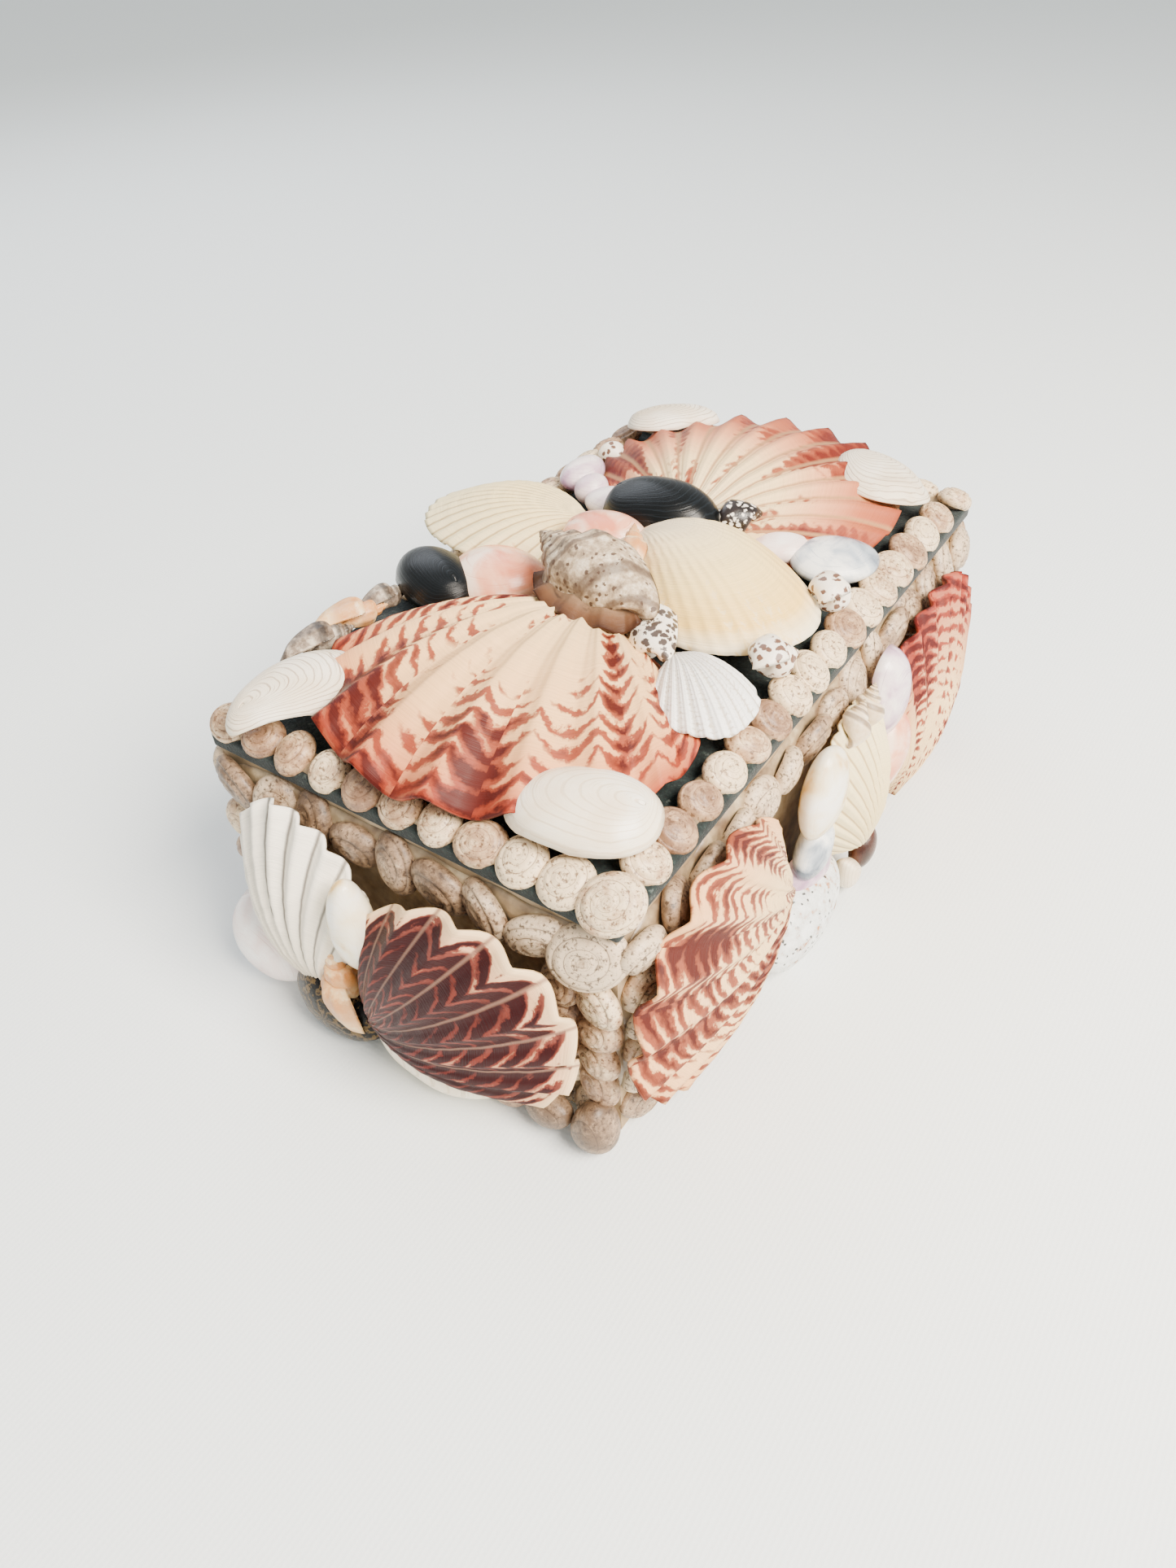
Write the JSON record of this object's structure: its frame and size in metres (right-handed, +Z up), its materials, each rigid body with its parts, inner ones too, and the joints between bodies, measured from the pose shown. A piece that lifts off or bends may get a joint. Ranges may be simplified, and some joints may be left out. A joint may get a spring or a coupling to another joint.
{
  "type": "shell box",
  "caption": "Oblong keepsake box with a lift-off velvet lid, covered all over in glued sea shells and bordered with button snails.",
  "frame": {"origin": "centre of the carcass's underside, where the box stands", "axes": "+Z up, +Y along the length away from the front wall, +X to the right as seen from the front"},
  "size_m": [0.1693, 0.2631, 0.1233],
  "materials": {
    "board": "bare thin board, dusty",
    "velvet": "dark green velvet, dusty",
    "beige_snails": "speckled beige button snails, satin",
    "grey_snails": "grey-beige button snails, matte",
    "rose_scallop": "cream scallop with red-brown bands, satin",
    "maroon_scallop": "deep maroon scallop, satin",
    "cream_shell": "cream shell, satin",
    "ivory_shell": "white shell, satin",
    "black_shell": "blue-black shell, polished",
    "pink_shell": "pale pink shell, glossy",
    "lilac_shell": "lilac shell, glossy",
    "blue_grey_shell": "blue-grey shell, glossy",
    "tan_shell": "tan shell, satin",
    "brown_shell": "grey-brown shell, satin"
  },
  "bodies": {
    "root": {"carcass": "board", "lid_board": "velvet", "front_rim_snails": "beige_snails", "back_rim_snails": "beige_snails", "right_rim_snails": "beige_snails", "left_rim_snails": "beige_snails", "front_left_column_snails": "beige_snails", "front_right_column_snails": "beige_snails", "back_left_column_snails": "beige_snails", "back_right_column_snails": "beige_snails", "front_top_snails": "grey_snails", "front_foot_snails": "grey_snails", "right_top_snails": "grey_snails", "right_foot_snails": "grey_snails", "back_top_snails": "grey_snails", "back_foot_snails": "grey_snails", "left_top_snails": "grey_snails", "left_foot_snails": "grey_snails", "front_scallop": "rose_scallop", "back_scallop": "rose_scallop", "right_front_scallop": "rose_scallop", "right_back_scallop": "rose_scallop", "left_front_scallop": "rose_scallop", "left_back_scallop": "rose_scallop", "dark_scallop": "maroon_scallop", "back_wall_scallop": "maroon_scallop", "left_cockle": "cream_shell", "right_cockle": "cream_shell", "long_ribbed_shell": "cream_shell", "flat_clam_right": "cream_shell", "yellow_bubble": "cream_shell", "cream_cockle": "cream_shell", "left_wall_cockle": "cream_shell", "spotted_dove_shell": "ivory_shell", "spotted_top_shell": "ivory_shell", "lattice_cockle": "ivory_shell", "smooth_front_clam": "ivory_shell", "flat_clam_left": "ivory_shell", "white_olive": "ivory_shell", "ribbed_cockle": "ivory_shell", "smooth_white_clam": "ivory_shell", "back_wall_cockle": "ivory_shell", "black_ribbed_clam": "black_shell", "black_clam": "black_shell", "striped_nerite": "black_shell", "salmon_clam": "pink_shell", "pink_moon_shell": "pink_shell", "pale_pink_clam": "pink_shell", "pink_clam": "pink_shell", "back_left_small_shells": "lilac_shell", "purple_clam": "lilac_shell", "lilac_clam": "lilac_shell", "blue_grey_clam": "blue_grey_shell", "blue_bubble": "blue_grey_shell", "pale_rough_shell": "blue_grey_shell", "tan_top_shell": "tan_shell", "orange_snail": "tan_shell", "whelk": "brown_shell", "dark_dove_shell": "brown_shell", "edge_whelks": "brown_shell"}
  },
  "joints": []
}
